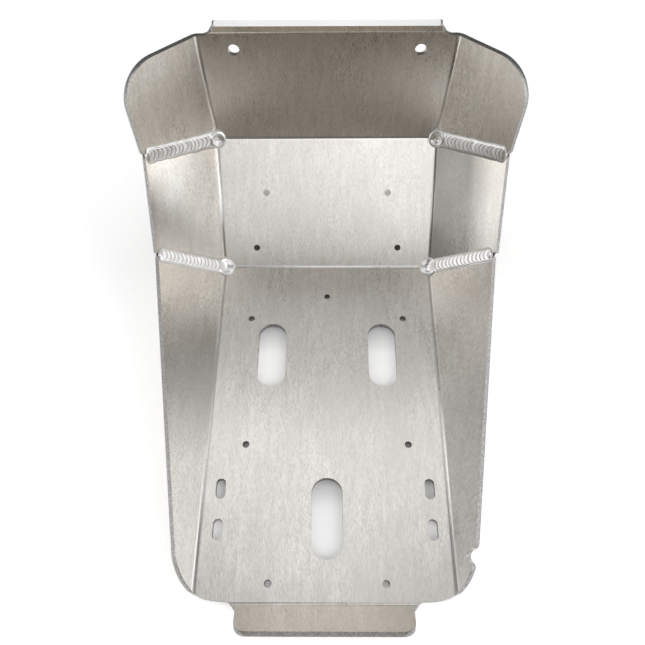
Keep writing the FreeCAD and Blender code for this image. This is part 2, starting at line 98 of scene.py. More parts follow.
# The crease tone paints shade in the creases, with some oxide there, and at the bead's foot
CREASE_SHADE_TONE = (0.17, 0.17, 0.165, 1)
WELD_ROUGH, CREASE_ROUGH = (0.26, 0.36), 0.15

# Weld beads, in millimetres: the grid they are meshed on and its room round the seam
GRID = 0.3
GRID_LOW, GRID_PAST, GRID_SIDE, GRID_TOP = (-13.0, -11.0, -9.0), 2.0, 11.0, 12.0
BEAD_SEEDS = {"front": 50, "rear": 40}

# The bead: its half width, crown and ends, and how far and over what length it wanders and varies in breadth
BEAD_HALF, BEAD_CROWN, BEAD_START, BEAD_LEAD, BEAD_END_INSET = 6.6, 0.95, 4.0, 2.0, 0.15
BEAD_SWAY, BEAD_BREADTH = (0.10, 5.0), (0.12, 4.0)
WANDER_FROM, WANDER_TO = -30.0, 110.0
END_TAPER, END_FALL, END_DIP = 2.2, 0.3, 0.04
CROWN_REACH, CROWN_POWER = 1.2, 2.6
SPREAD_LIMIT, SPREAD_SLOPE = 1.03, 4.0
SINK, OVERLAP = 0.25, 0.1

# Ripples: pitch, radius of their fronts and height, where the first one lies, and how much they vary. Then
# the stretches over which a ripple rises and falls, and fades towards the bead's sides and its end
RIPPLE_PITCH, RIPPLE_RADIUS, RIPPLE_STEP, BOW_LEAST = 3.75, 4.7, 0.5, 0.5
RIPPLE_FIRST, RIPPLE_ROOM, RIPPLE_SHIFT, RIPPLE_VARIES = 8.6, 6.0, 0.05, 0.16
RIPPLE_RISE, RIPPLE_FALL = (-0.25, 0.35), (0.2, RIPPLE_PITCH + 0.6)
RIPPLE_SIDES, RIPPLE_END = (3.9, 5.0), (2.5, 0.5)

# Painted shade, with some oxide, in the creases between the ripples: how dark, and the stretches over which
# they open and close, and fade towards the bead's sides, its foot, its first end and its last. Then the
# painted shade at the bead's foot
CREASE = {"front": 1.0, "rear": 0.45}
CREASE_OPENS, CREASE_CLOSES, CREASE_SIDES = (-0.95, -0.25), (-0.05, 0.45), (3.6, 4.8)
CREASE_FOOT, CREASE_FIRST, CREASE_LAST = (2.0, 1.0), (6.5, 8.0), (4.0, 2.0)
TOE_SHARE = {"front": 0.5, "rear": 0.25}
TOE_FADE, TOE_FLOOR = (0.2, 0.8), -1.0

# The bead's round end over the relief hole: a low puddle with a crater and faint rings
BLOB_ALONG, BLOB_FILL, BLOB_HEIGHT = 0.5, 5.0, 0.75
BLOB_RADIUS = {"front": 7.9, "rear": 8.9}
BLOB_CRATER = {"front": 0.7, "rear": 0.1}
BLOB_RINGS = {"front": 0.12, "rear": 0.04}
CRATER_RISE, RING_RATE = (2.2, 5.2), 2.6
CAP_ROUNDING, JOIN_ROUNDING = 1.3, 1.0

# The metal that fills the relief hole and the groove outside
PLUG_ROUNDING, PLUG_TOP, ROOT_ROUNDING, ROOT_TOP = 0.8, 0.5, 0.9, 0.3

# Softboxes on a dome round the plate: degrees above the floor, degrees from the front towards the right,
# width in metres, and watts
LAMP_DISTANCE, LAMP_LIFT, LOWEST_LAMP = 1.5, 0.05, 0.32
SOFTBOXES = {
    "top": (82, 0, 0.7, 1.4),
    "high_front": (58, 0, 0.7, 0.7),
    "high_right": (58, 60, 0.7, 1.2),
    "high_rear": (58, 180, 0.7, 1.2),
    "high_left": (58, 300, 0.7, 1.3),
    "middle_right": (34, 100, 0.8, 2.6),
    "middle_right_rear": (34, 125, 0.6, 1.3),
    "middle_rear_right": (34, 160, 0.8, 2.1),
    "middle_rear_left": (34, 200, 0.8, 1.5),
    "middle_left": (34, 280, 0.8, 2.5),
    "low_right_front": (9, 78, 0.6, 1.1),
    "low_right": (9, 103, 0.6, 1.2),
    "low_right_rear": (9, 128, 0.6, 1.9),
    "low_left": (11, 257, 0.5, 1.5),
}

# The white floor, in metres: its tone for the light and the brighter tone that the camera sees, with shadows.
# The metal sees a share between the two. The floor also glows for the camera, more with distance
FLOOR_HALF_SIZE, FLOOR_HEIGHT = 6.0, -0.0001
FLOOR_TONE, FLOOR_SEEN_TONE, FLOOR_GLOSSY = 0.80, 1.65, 0.35
GLOW_NEAR, GLOW_FAR, GLOW_START, GLOW_END = 0.24, 0.80, 0.20, 1.2

# Under the plate the floor doesn't glow and has a painted shadow: places from tail to nose, and the share
# left there
UNDER_HALF, UNDER_REAR, UNDER_FRONT, UNDER_FADE = 0.086, -0.168, 0.174, 0.045
UNDER_INSIDE, UNDER_OUTSIDE = 0.012, 0.006
UNDER_SHADOW_TONES = ((-0.145, 1.0), (-0.108, 0.98), (-0.087, 0.5), (-0.05, 0.5), (-0.015, 1.0), (0.016, 1.0),
               (0.041, 0.5), (0.10, 0.10), (0.16, 0.16), (0.188, 0.30))

# The world's strength for the light, for the camera, and the share that the metal sees
WORLD_LIGHT, WORLD_SEEN, WORLD_GLOSSY = 0.04, 1.0, 0.05

# A dark card behind the tail, below the camera's view, which only shows in the metal
CARD_HALF_WIDTH, CARD_FOOT, CARD_TOP, CARD_HEIGHT = 0.60, -0.24, -0.40, 0.30
CARD_COLOUR, CARD_TONE = (0.05, 0.04, 0.03, 1), (0.085, 0.070, 0.052, 1)

# Sockets of a Mix node that mixes colours
MIX_LOW, MIX_HIGH, MIX_RESULT = 6, 7, 2


def unit(vector):
    return vector / np.linalg.norm(vector)


class Graph:
    """Short words for building a node tree."""

    def __init__(self, name):
        self.material = bpy.data.materials.new(name)
        self.material.use_nodes = True
        self.tree = self.material.node_tree
        self.tree.nodes.clear()

    def node(self, kind, **settings):
        made = self.tree.nodes.new(kind)
        for key, value in settings.items():
            setattr(made, key, value)
        return made

    def link(self, start, end):
        self.tree.links.new(start, end)

    def feed(self, target, value):
        if isinstance(value, bpy.types.NodeSocket):
            self.link(value, target)
        else:
            target.default_value = value

    def math(self, operation, *values, clamp=False):
        made = self.node("ShaderNodeMath", operation=operation, use_clamp=clamp)
        for target, value in zip(made.inputs, values):
            self.feed(target, value)
        return made.outputs[0]

    def parts(self, vector):
        """X, Y and Z of a vector."""
        made = self.node("ShaderNodeSeparateXYZ")
        self.link(vector, made.inputs[0])
        return made.outputs

    def above(self, value, limit):
        return self.math("GREATER_THAN", value, limit)

    def below(self, value, limit):
        return self.math("LESS_THAN", value, limit)

    def place(self, scale):
        """Stretched object coordinates."""
        coordinates = self.node("ShaderNodeTexCoord")
        stretched = self.node("ShaderNodeMapping", vector_type="POINT")
        stretched.inputs["Scale"].default_value = scale
        self.link(coordinates.outputs["Object"], stretched.inputs["Vector"])
        return stretched.outputs[0]

    def noise(self, vector, detail, roughness):
        made = self.node("ShaderNodeTexNoise")
        self.link(vector, made.inputs["Vector"])
        made.inputs["Scale"].default_value = 1.0
        made.inputs["Detail"].default_value = detail
        made.inputs["Roughness"].default_value = roughness
        return made.outputs["Fac"]

    def span(self, value, from_low, from_high, to_low, to_high):
        made = self.node("ShaderNodeMapRange")
        for target, number in zip(made.inputs, (value, from_low, from_high, to_low, to_high)):
            self.feed(target, number)
        return made.outputs[0]

    def steps(self, value, points):
        """A value that runs straight from point to point."""
        low, high = points[0][0], points[-1][0]
        made = self.node("ShaderNodeValToRGB")
        bar = made.color_ramp.elements
        while len(bar) < len(points):
            bar.new(0.5)
        for number, (place, level) in enumerate(points):
            bar[number].position = (place - low) / (high - low)
            bar[number].color = (level, level, level, 1.0)
        self.link(self.span(value, low, high, 0.0, 1.0), made.inputs[0])
        return made.outputs[0]

    def mix(self, share, low, high):
        made = self.node("ShaderNodeMix", data_type="RGBA")
        self.feed(made.inputs[0], share)
        self.feed(made.inputs[MIX_LOW], low)
        self.feed(made.inputs[MIX_HIGH], high)
        return made.outputs[MIX_RESULT]

    def bump(self, height, distance, strength):
        made = self.node("ShaderNodeBump")
        made.inputs["Strength"].default_value = strength
        made.inputs["Distance"].default_value = distance
        self.link(height, made.inputs["Height"])
        return made.outputs[0]

    def principled(self, **values):
        shader = self.node("ShaderNodeBsdfPrincipled")
        for name, value in values.items():
            self.feed(shader.inputs[name.replace("_", " ")], value)
        end = self.node("ShaderNodeOutputMaterial")
        self.link(shader.outputs[0], end.inputs["Surface"])


def lip_end(g, place):
    """1 where the lip is, at the top of the nose, and 0 elsewhere."""
    inside = g.below(g.math("ABSOLUTE", place["X"]), LIP_HALF)
    return g.math("MULTIPLY", inside, g.above(place["Z"], LIP_FROM))


def cut_faces(g):
    """1 on the faces that the cutting left: the rim of the wings, the top of the nose, the tail's end, and
    the walls of the floor's openings. 0 on the sheet's own faces."""
    normal = g.parts(g.node("ShaderNodeNewGeometry").outputs["True Normal"])
    place = g.parts(g.node("ShaderNodeTexCoord").outputs["Object"])
    outward = g.math("MULTIPLY", normal["X"], g.math("SIGN", place["X"]))
    climb = g.math("SUBTRACT", normal["Z"], normal["Y"])
    rim = g.math("MULTIPLY", g.above(outward, RIM_LEAN), g.above(climb, RIM_LEAN))
    top = g.math("MULTIPLY", g.above(normal["Z"], LEVEL_LEAN), g.above(place["Z"], LEVEL_FROM))
    top = g.math("MULTIPLY", top, g.math("SUBTRACT", 1.0, lip_end(g, place)))
    upright = g.below(g.math("ABSOLUTE", normal["Z"]), UPRIGHT_LEAN)
    wall = g.math("MULTIPLY", upright, g.below(place["Z"], THICKNESS * MM * WALL_SHARE))
    tail = g.math("MULTIPLY", g.below(normal["Y"], TAIL_LEAN), g.below(place["Y"], TAIL_FROM))
    return g.math("ADD", g.math("ADD", rim, top), g.math("ADD", wall, tail), clamp=True)


def near_line(g, place, point, way, reach):
    """1 on a straight line, falling to 0 at a distance from it. Lengths in millimetres."""
    away = g.node("ShaderNodeVectorMath", operation="SUBTRACT")
    g.link(place, away.inputs[0])
    away.inputs[1].default_value = [value * MM for value in point]
    crossed = g.node("ShaderNodeVectorMath", operation="CROSS_PRODUCT")
    g.link(away.outputs[0], crossed.inputs[0])
    crossed.inputs[1].default_value = list(unit(np.array(way, dtype=float)))
    distance = g.node("ShaderNodeVectorMath", operation="LENGTH")
    g.link(crossed.outputs[0], distance.inputs[0])
    return g.span(distance.outputs["Value"], 0.0, reach * MM, 1.0, 0.0)


def painted_fold_lines(g, lines):
    """Thin painted highlight and painted shade lines along the inside of each fold."""
    place = g.node("ShaderNodeTexCoord").outputs["Object"]
    spot = g.parts(place)
    folded = g.node("ShaderNodeCombineXYZ")
    g.link(g.math("ABSOLUTE", spot["X"]), folded.inputs["X"])
    g.link(spot["Y"], folded.inputs["Y"])
    g.link(spot["Z"], folded.inputs["Z"])
    total = None
    for both_sides, start, way in lines:
        line = near_line(g, folded.outputs[0] if both_sides else place, start, way, FOLD_LINE_REACH)
        total = line if total is None else g.math("MAXIMUM", total, line)
    return total


def past_plane(g, place, point, normal):
    """1 on the side of a plane that its normal points to. The point is in millimetres."""
    reach = g.node("ShaderNodeVectorMath", operation="DOT_PRODUCT")
    g.link(place, reach.inputs[0])
    reach.inputs[1].default_value = list(normal)
    return g.above(reach.outputs["Value"], float(np.dot(point, normal)) * MM)


def ramp_wing_painted_shade(g):
    """Painted shade on the inner part of the right wing of the ramp: the tone there, 1 elsewhere."""
    place = g.node("ShaderNodeTexCoord").outputs["Object"]
    across = g.parts(place)["X"]
    ramp_way, _ = slope(RAMP_FOLD)
    nose_way, _ = slope(RAMP_FOLD + NOSE_FOLD)
    line = np.array(RAMP_LINE)
    lower = past_plane(g, place, line, unit(ramp_way + np.array([0.0, 1.0, 0.0])))
    upper = past_plane(g, place, line + ramp_way * RAMP_LENGTH, -unit(ramp_way + nose_way))
    here = g.math("MULTIPLY", g.math("MULTIPLY", lower, upper), g.above(across, FLOOR_HALF * MM))
    depth = g.span(across, PAINTED_SHADE_FULL, PAINTED_SHADE_END, PAINTED_SHADE_DEPTH, 0.0)
    return g.math("SUBTRACT", 1.0, g.math("MULTIPLY", here, depth))


def wing_scratches(g):
    """Fine diagonal scratches on the right wing of the floor."""
    coordinates = g.node("ShaderNodeTexCoord").outputs["Object"]
    turned = g.node("ShaderNodeMapping", vector_type="TEXTURE")
    turned.inputs["Rotation"].default_value = (0.0, 0.0, math.radians(SCRATCH_TURN))
    turned.inputs["Scale"].default_value = (1.0 / SCRATCH_WAVES[0], 1.0 / SCRATCH_WAVES[1], 1.0)
    g.link(coordinates, turned.inputs["Vector"])
    marks = g.span(g.noise(turned.outputs[0], detail=1.0, roughness=0.5), *SCRATCH_RANGE, 0.0, 1.0)
    clouds = g.noise(g.place(PATCH_WAVES), detail=2.0, roughness=0.5)
    patch = g.span(clouds, *PATCH_RANGE, PATCH_LEAST, 1.0)
    place = g.parts(coordinates)
    fade = g.span(place["Y"], *SCRATCH_FADE, 1.0, 0.0)
    here = g.math("MULTIPLY", g.above(place["X"], FLOOR_HALF * MM), fade)
    return g.math("MULTIPLY", g.math("MULTIPLY", marks, patch), here)


def nose_reflection_tinted(g, tone, height):
    """The tone, with a painted warm reflection from the top of the ramp up."""
    warm = g.node("ShaderNodeVectorMath", operation="MULTIPLY")
    g.link(tone, warm.inputs[0])
    share = g.span(height, NOSE_REFLECTION_FROM, NOSE_REFLECTION_TO, 0.0, 1.0)
    g.link(g.mix(share, NO_TINT, NOSE_REFLECTION_TINT), warm.inputs[1])
    return warm.outputs[0]


def brushed_sheet():
    """Rolled and brushed aluminium: short fine streaks along every panel, soft clouds of tone, and duller,
    mottled cut edges."""
    g = Graph("brushed_aluminium")
    streaks = g.noise(g.place(STREAKS), detail=2.0, roughness=0.55)
    fine = g.noise(g.place(FINE_STREAKS), detail=1.0, roughness=0.5)
    broad = g.noise(g.place(BROAD_STREAKS), detail=2.0, roughness=0.6)
    cloud = g.noise(g.place(CLOUDS), detail=3.0, roughness=0.6)
    mottle = g.noise(g.place(MOTTLE), detail=2.0, roughness=0.6)
    lines = g.math("ADD", g.math("MULTIPLY", streaks, STREAK_SHARE), g.math("MULTIPLY", fine, FINE_SHARE))
    lines = g.math("ADD", lines, g.math("MULTIPLY", broad, BROAD_SHARE))
    tone = g.mix(g.span(lines, *STREAK_RANGE, 0.0, 1.0), STREAK_DARK, STREAK_BRIGHT)
    tone = g.mix(g.span(cloud, *CLOUD_RANGE, 0.0, CLOUD_SHARE), tone, CLOUD_TONE)
    edge_tone = g.mix(g.span(mottle, *CLOUD_RANGE, 0.0, 1.0), CUT_DARK, CUT_BRIGHT)
    cut = cut_faces(g)
    bright, dark = fold_highlight_and_shade_lines()
    tone = g.mix(wing_scratches(g), tone, SCRATCH_TONE)
    # Painted shade and painted highlights along the folds
    tone = g.mix(painted_fold_lines(g, dark), tone, FOLD_SHADE_TONE)
    tone = g.mix(painted_fold_lines(g, bright), tone, FOLD_HIGHLIGHT_TONE)
    spot = g.parts(g.node("ShaderNodeTexCoord").outputs["Object"])
    # Painted warm reflection from the top of the ramp up
    tone = nose_reflection_tinted(g, tone, spot["Z"])
    normal = g.parts(g.node("ShaderNodeNewGeometry").outputs["True Normal"])
    # Painted highlight on the lip's upward face
    tone = g.mix(g.math("MULTIPLY", g.above(normal["Z"], LIP_LEAN), lip_end(g, spot)), tone, LIP_HIGHLIGHT_TONE)
    # Painted shade: darkens the inner part of the right ramp wing
    shade = g.node("ShaderNodeVectorMath", operation="SCALE")
    g.link(tone, shade.inputs[0])
    g.link(ramp_wing_painted_shade(g), shade.inputs["Scale"])
    tone = shade.outputs[0]
    clouded = g.span(cloud, *ROUGH_RANGE, *CLOUD_ROUGH)
    rough = g.math("ADD", g.span(lines, *ROUGH_RANGE, *SHEET_ROUGH), clouded)
    rough = g.math("ADD", rough, g.math("MULTIPLY", cut, CUT_ROUGH))
    grain = g.node("ShaderNodeTangent", direction_type="RADIAL", axis="X")
    g.principled(Base_Color=g.mix(cut, tone, edge_tone), Metallic=1.0, Roughness=rough, Anisotropic=0.5,
                 Anisotropic_Rotation=0.25, Tangent=grain.outputs[0],
                 Normal=g.bump(broad, GRAIN_DEPTH, GRAIN_STRENGTH))
    return g.material


def weld_metal():
    """Bright, clean weld metal with a satin skin, duller in the creases between its ripples. Painted shade
    darkens the creases, with some oxide there, and the bead's foot.
    """
    g = Graph("weld_metal")
    weld_shade = g.node("ShaderNodeAttribute", attribute_name="weld_shade").outputs["Fac"]
    cloud = g.noise(g.place(WELD_WAVES), detail=3.0, roughness=0.6)
    tone = g.mix(g.span(cloud, *ROUGH_RANGE, 0.0, 1.0), WELD_DARK, WELD_BRIGHT)
    # Painted shade, with some oxide, in the creases and at the bead's foot
    tone = g.mix(weld_shade, tone, CREASE_SHADE_TONE)
    dull = g.math("MULTIPLY", weld_shade, CREASE_ROUGH)
    rough = g.math("ADD", g.span(cloud, *ROUGH_RANGE, *WELD_ROUGH), dull)
    g.principled(Base_Color=tone, Metallic=1.0, Roughness=rough,
                 Normal=g.bump(cloud, WELD_BUMP, WELD_STRENGTH))
    return g.material


class Seam:
    """The axes of a seam, from the folds that meet at its corner."""

    def __init__(self, corner, lower_normal, upper_normal, first_run, second_run, width):
        self.corner = np.array(corner)
        wings = [self.wing_normal(lower_normal, first_run), self.wing_normal(upper_normal, second_run)]
        self.normals = [lower_normal, upper_normal] + wings
        first, second = wings
        along = unit(np.cross(first, second))
        along = along * math.copysign(1.0, along[0])
        rise = unit(np.cross(first, first_run))
        rise = rise * math.copysign(1.0, rise[2])
        self.length = width / along.dot(rise)
        self.along = along
        self.crown = unit(first + second)
        self.across = unit(first - second)
        self.half_angle = math.acos(first.dot(second)) / 2.0
        self.inward = unit(sum(self.normals))

    def wing_normal(self, panel_normal, run):
        outward = np.array([1.0, 0.0, 0.0])
        outward = unit(outward - run * run.dot(outward))
        angle = math.radians(WING_FOLD)
        return panel_normal * math.cos(angle) - outward * math.sin(angle)


def slope(degrees):
    """The way up a panel at this slope, and the normal of its inner face."""
    angle = math.radians(degrees)
    way = np.array([0.0, math.cos(angle), math.sin(angle)])
    return way, np.array([0.0, -math.sin(angle), math.cos(angle)])


def fold_highlight_and_shade_lines():
    """The edges of each fold's round on the inner face, where the painted highlights and painted shade go:
    the bright ones, then the dark ones. Each is a flag, a point and a direction. The flag says that it is the
    same on both sides and drawn on the right."""
    ramp_way, ramp_normal = slope(RAMP_FOLD)
    nose_way, nose_normal = slope(RAMP_FOLD + NOSE_FOLD)
    floor_way, floor_normal = slope(0.0)
    right = np.array([1.0, 0.0, 0.0])
    line = np.array(RAMP_LINE)
    top = line + ramp_way * RAMP_LENGTH
    wing_tangent = BEND_RADIUS * math.tan(math.radians(WING_FOLD) / 2.0)
    low_tangent = BEND_RADIUS * math.tan(math.radians(RAMP_FOLD) / 2.0)
    high_tangent = BEND_RADIUS * math.tan(math.radians(NOSE_FOLD) / 2.0)
    start, end = line + right * FLOOR_HALF, top + right * RAMP_FRONT_HALF
    nose_end = top + nose_way * NOSE_LENGTH + right * NOSE_TOP_HALF
    folds = [
        (True, start, end - start, right, ramp_normal),
        (True, end, nose_end - end, right, nose_normal),
    ]
    for side, sign in (("left", -1.0), ("right", 1.0)):
        run = np.array([sign * (SIDES[side]["floor_rear"] - FLOOR_HALF), -FLOOR_LENGTH, 0.0])
        folds.append((False, line + sign * right * FLOOR_HALF, run, sign * right, floor_normal))
    bright = [(True, line + ramp_way * low_tangent, right), (True, top - ramp_way * high_tangent, right)]
    dark = [(True, line - floor_way * low_tangent, right), (True, top + nose_way * high_tangent, right)]
    for both_sides, corner, run, outward, normal in folds:
        bright.append((both_sides, corner + wing_tangent * unit(outward + normal), run))
        dark.append((both_sides, corner - wing_tangent * outward, run))
    return bright, dark


def seams(side):
    """The two seams of a side, drawn as on the right."""
    _, floor_normal = slope(0.0)
    ramp_way, ramp_normal = slope(RAMP_FOLD)
    nose_way, nose_normal = slope(RAMP_FOLD + NOSE_FOLD)
    line = np.array(RAMP_LINE)
    right = np.array([1.0, 0.0, 0.0])
    rear_corner = line + right * FLOOR_HALF
    front_corner = line + ramp_way * RAMP_LENGTH + right * RAMP_FRONT_HALF
    top_corner = line + ramp_way * RAMP_LENGTH + nose_way * NOSE_LENGTH + right * NOSE_TOP_HALF
    floor_run = unit(np.array([side["floor_rear"] - FLOOR_HALF, -FLOOR_LENGTH, 0.0]))
    ramp_run = unit(front_corner - rear_corner)
    nose_run = unit(top_corner - front_corner)
    rear = Seam(rear_corner, floor_normal, ramp_normal, floor_run, ramp_run, side["rear"])
    front = Seam(front_corner, ramp_normal, nose_normal, ramp_run, nose_run, side["front"])
    return {"rear": rear, "front": front}


def skin(values, spacing, low):
    """The surface of a sampled solid, negative inside: a point in each crossed cell, a quad on each edge."""
    inside = values < 0.0
    shape = np.array(values.shape) - 1
    total = np.zeros(tuple(shape) + (3,))
    count = np.zeros(tuple(shape))
    for axis in range(3):
        others = [a for a in range(3) if a != axis]
        for first in (0, 1):
            for second in (0, 1):
                start = [slice(0, -1)] * 3
                start[others[0]] = slice(first, first + shape[others[0]])
                start[others[1]] = slice(second, second + shape[others[1]])
                end = list(start)
                end[axis] = slice(1, None)
                a, b = values[tuple(start)], values[tuple(end)]
                crossed = (a < 0.0) != (b < 0.0)
                share = np.where(crossed, a / np.where(crossed, a - b, 1.0), 0.0)
                total[..., axis] += share
                total[..., others[0]] += first * crossed
                total[..., others[1]] += second * crossed
                count += crossed
    used = count > 0
    index = np.full(used.shape, -1)
    index[used] = np.arange(used.sum())
    cells = np.argwhere(used)
    points = low + spacing * (cells + total[used] / count[used][:, None])
    faces = []
    for axis in range(3):
        b, c = (axis + 1) % 3, (axis + 2) % 3
        start = [slice(1, -1)] * 3
        start[axis] = slice(0, -1)
        end = list(start)
        end[axis] = slice(1, None)
        here, there = inside[tuple(start)], inside[tuple(end)]
        where = np.argwhere(here != there)
        lower = where.copy()
        lower[:, b] += 1
        lower[:, c] += 1
        ring = []
        for step_b, step_c in ((1, 1), (0, 1), (0, 0), (1, 0)):
            cell = lower.copy()
            cell[:, b] += step_b - 1
            cell[:, c] += step_c - 1
            ring.append(index[tuple(cell.T)])
        quad = np.stack(ring, 1)
        out = here[tuple(where.T)]
        quad[~out] = quad[~out][:, ::-1]
        faces.append(quad)
    return points, np.concatenate(faces)


def soft_union(a, b, width):
    """The lesser of two distances, rounded where they meet."""
    share = np.clip(0.5 + 0.5 * (b - a) / width, 0.0, 1.0)
    return b + (a - b) * share - width * share * (1.0 - share)


def soft_common(a, b, width):
    """The greater of two distances, rounded where they meet."""
    return -soft_union(-a, -b, width)


def ease(value, low, high):
    """0 up to low, 1 from high on, and smooth in between."""
    t = np.clip((value - low) / (high - low), 0.0, 1.0)
    return t * t * (3.0 - 2.0 * t)


def wander(u, random, size, pitch):
    """A smooth irregular line along the bead."""
    knots = np.arange(WANDER_FROM, WANDER_TO, pitch)
    return np.interp(u, knots, random.normal(0.0, size, len(knots)))


def ripple_bow(v):
    """How far a ripple's front lags behind its middle."""
    return RIPPLE_RADIUS - np.sqrt(np.clip(RIPPLE_RADIUS ** 2 - v ** 2, BOW_LEAST, None))


def ripple_list(seam, random):
    """Place and height of each ripple along the bead."""
    count = int((seam.length - RIPPLE_ROOM) / RIPPLE_PITCH)
    places = RIPPLE_FIRST + RIPPLE_PITCH * (np.arange(count) + random.normal(0.0, RIPPLE_SHIFT, count))
    sizes = RIPPLE_STEP * (1.0 + random.normal(0.0, RIPPLE_VARIES, count))
    return list(zip(places, sizes))


def crease_depth(seam, local, ripples):
    """How deep in a crease each point of the bead is, from 0 to 1."""
    u, v, w = local.T
    phase = u - ripple_bow(v)
    depth = np.zeros_like(phase)
    for ripple_place, size in ripples:
        ahead = phase - ripple_place
        here = ease(ahead, *CREASE_OPENS) * (1.0 - ease(ahead, *CREASE_CLOSES))
        depth = np.maximum(depth, here * size / RIPPLE_STEP)
    top = BEAD_HALF * math.sin(seam.half_angle)
    middle = (1.0 - ease(np.abs(v), *CREASE_SIDES)) * ease(w, top - CREASE_FOOT[0], top - CREASE_FOOT[1])
    last = 1.0 - ease(u, seam.length - CREASE_LAST[0], seam.length - CREASE_LAST[1])
    return np.clip(depth, 0.0, 1.0) * middle * ease(u, *CREASE_FIRST) * last


def toe_shade(seam, local):
    """Painted shade at the bead's foot: 1 where the bead runs out on the sheet, 0 elsewhere."""
    offset = local[:, :1] * seam.along + local[:, 1:2] * seam.across + local[:, 2:] * seam.crown
    height = np.min([offset.dot(normal) for normal in seam.normals], axis=0)
    return (1.0 - ease(height, *TOE_FADE)) * (height > TOE_FLOOR)


def rippled_bead(seam, u, v, w, wings, ripples, random):
    """How far each grid point is outside the bead itself, without its round end."""
    line = u[:, 0, 0]
    sway = wander(line, random, *BEAD_SWAY)[:, None, None]
    breadth = wander(line, random, *BEAD_BREADTH)[:, None, None]
    half = (BEAD_HALF + breadth) * math.cos(seam.half_angle)
    toe = (BEAD_HALF + breadth) * math.sin(seam.half_angle)
    end = seam.length - BEAD_END_INSET
    past = np.clip((u - (end - END_TAPER)) / END_TAPER, 0.0, 1.0)
    side = (v - sway) / half
    spread = np.sqrt(side ** 2 + past ** 2)
    fall = np.clip(np.sqrt(side ** 2 + END_FALL * past ** 2), 0.0, CROWN_REACH)
    crown = toe * (1.0 - END_DIP * past ** 2) + BEAD_CROWN * (1.0 - fall ** CROWN_POWER)
    phase = u - ripple_bow(v - sway)
    ripple = np.zeros_like(phase)
    for ripple_place, size in ripples:
        ahead = phase - ripple_place
        ripple += size * ease(ahead, *RIPPLE_RISE) * (1.0 - ease(ahead, *RIPPLE_FALL))
    ending = 1.0 - ease(u, end - RIPPLE_END[0], end - RIPPLE_END[1])
    crest = ripple * (1.0 - ease(np.abs(v - sway), *RIPPLE_SIDES)) * ending
    bead = w - crown - crest
    bead = np.maximum(bead, BEAD_START - BEAD_LEAD - u)
    bead = np.maximum(bead, (spread - SPREAD_LIMIT) * SPREAD_SLOPE)
    return np.maximum(bead, -np.minimum(*wings) - SINK)


def puddle(seam, kind, around, ball, heights):
    """How far each grid point is outside the bead's round end over the relief hole."""
    crater = np.linalg.norm(around - around.dot(seam.inward)[..., None] * seam.inward, axis=-1)
    rings = BLOB_RINGS[kind] * np.cos(crater * RING_RATE)
    top = BLOB_HEIGHT + BLOB_CRATER[kind] * ease(crater, *CRATER_RISE) + rings
    near = heights[0]
    for height in heights[1:]:
        near = soft_union(near, height, BLOB_FILL)
    cap = soft_common(ball, near - top, CAP_ROUNDING)
    for height in heights:
        cap = np.maximum(cap, -height - SINK)
    return cap


def relief_plug(seam, offset, ball, heights):
    """How far each grid point is outside the metal that fills the relief hole."""
    axis_height = offset.dot(seam.inward)
    radial = np.linalg.norm(offset - axis_height[..., None] * seam.inward, axis=-1)
    plug = np.maximum(radial - RELIEF_RADIUS - OVERLAP, ball)
    shell = -(heights[0] + THICKNESS)
    for height in heights[1:]:
        shell = soft_common(shell, -(height + THICKNESS), PLUG_ROUNDING)
    plug = np.maximum(plug, shell)
    return np.maximum(plug, axis_height - PLUG_TOP)


def root_fill(seam, u, v, w, wings):
    """How far each grid point is outside the metal in the groove between the wings."""
    cosine, sine = math.cos(seam.half_angle), math.sin(seam.half_angle)
    groove = np.maximum(-v * cosine + w * sine, v * cosine + w * sine) - SEAM_GAP / 2.0 - OVERLAP
    ridge = soft_common(-(wings[0] + THICKNESS), -(wings[1] + THICKNESS), ROOT_ROUNDING)
    ends = np.maximum(BEAD_START - u, u - (seam.length - BEAD_END_INSET))
    root = np.maximum(np.maximum(groove, ridge), ends)
    return np.maximum(root, w - ROOT_TOP)


def bead_field(seam, kind, u, v, w, ripples, random):
    """How far each grid point is outside the weld metal."""
    offset = u[..., None] * seam.along + v[..., None] * seam.across + w[..., None] * seam.crown
    heights = [offset.dot(normal) for normal in seam.normals]
    wings = heights[2:]
    around = offset - seam.along * BLOB_ALONG
    ball = np.linalg.norm(around, axis=-1) - BLOB_RADIUS[kind]
    bead = rippled_bead(seam, u, v, w, wings, ripples, random)
    upper = soft_union(bead, puddle(seam, kind, around, ball, heights), JOIN_ROUNDING)
    plug = relief_plug(seam, offset, ball, heights)
    return np.minimum(np.minimum(upper, plug), root_fill(seam, u, v, w, wings))


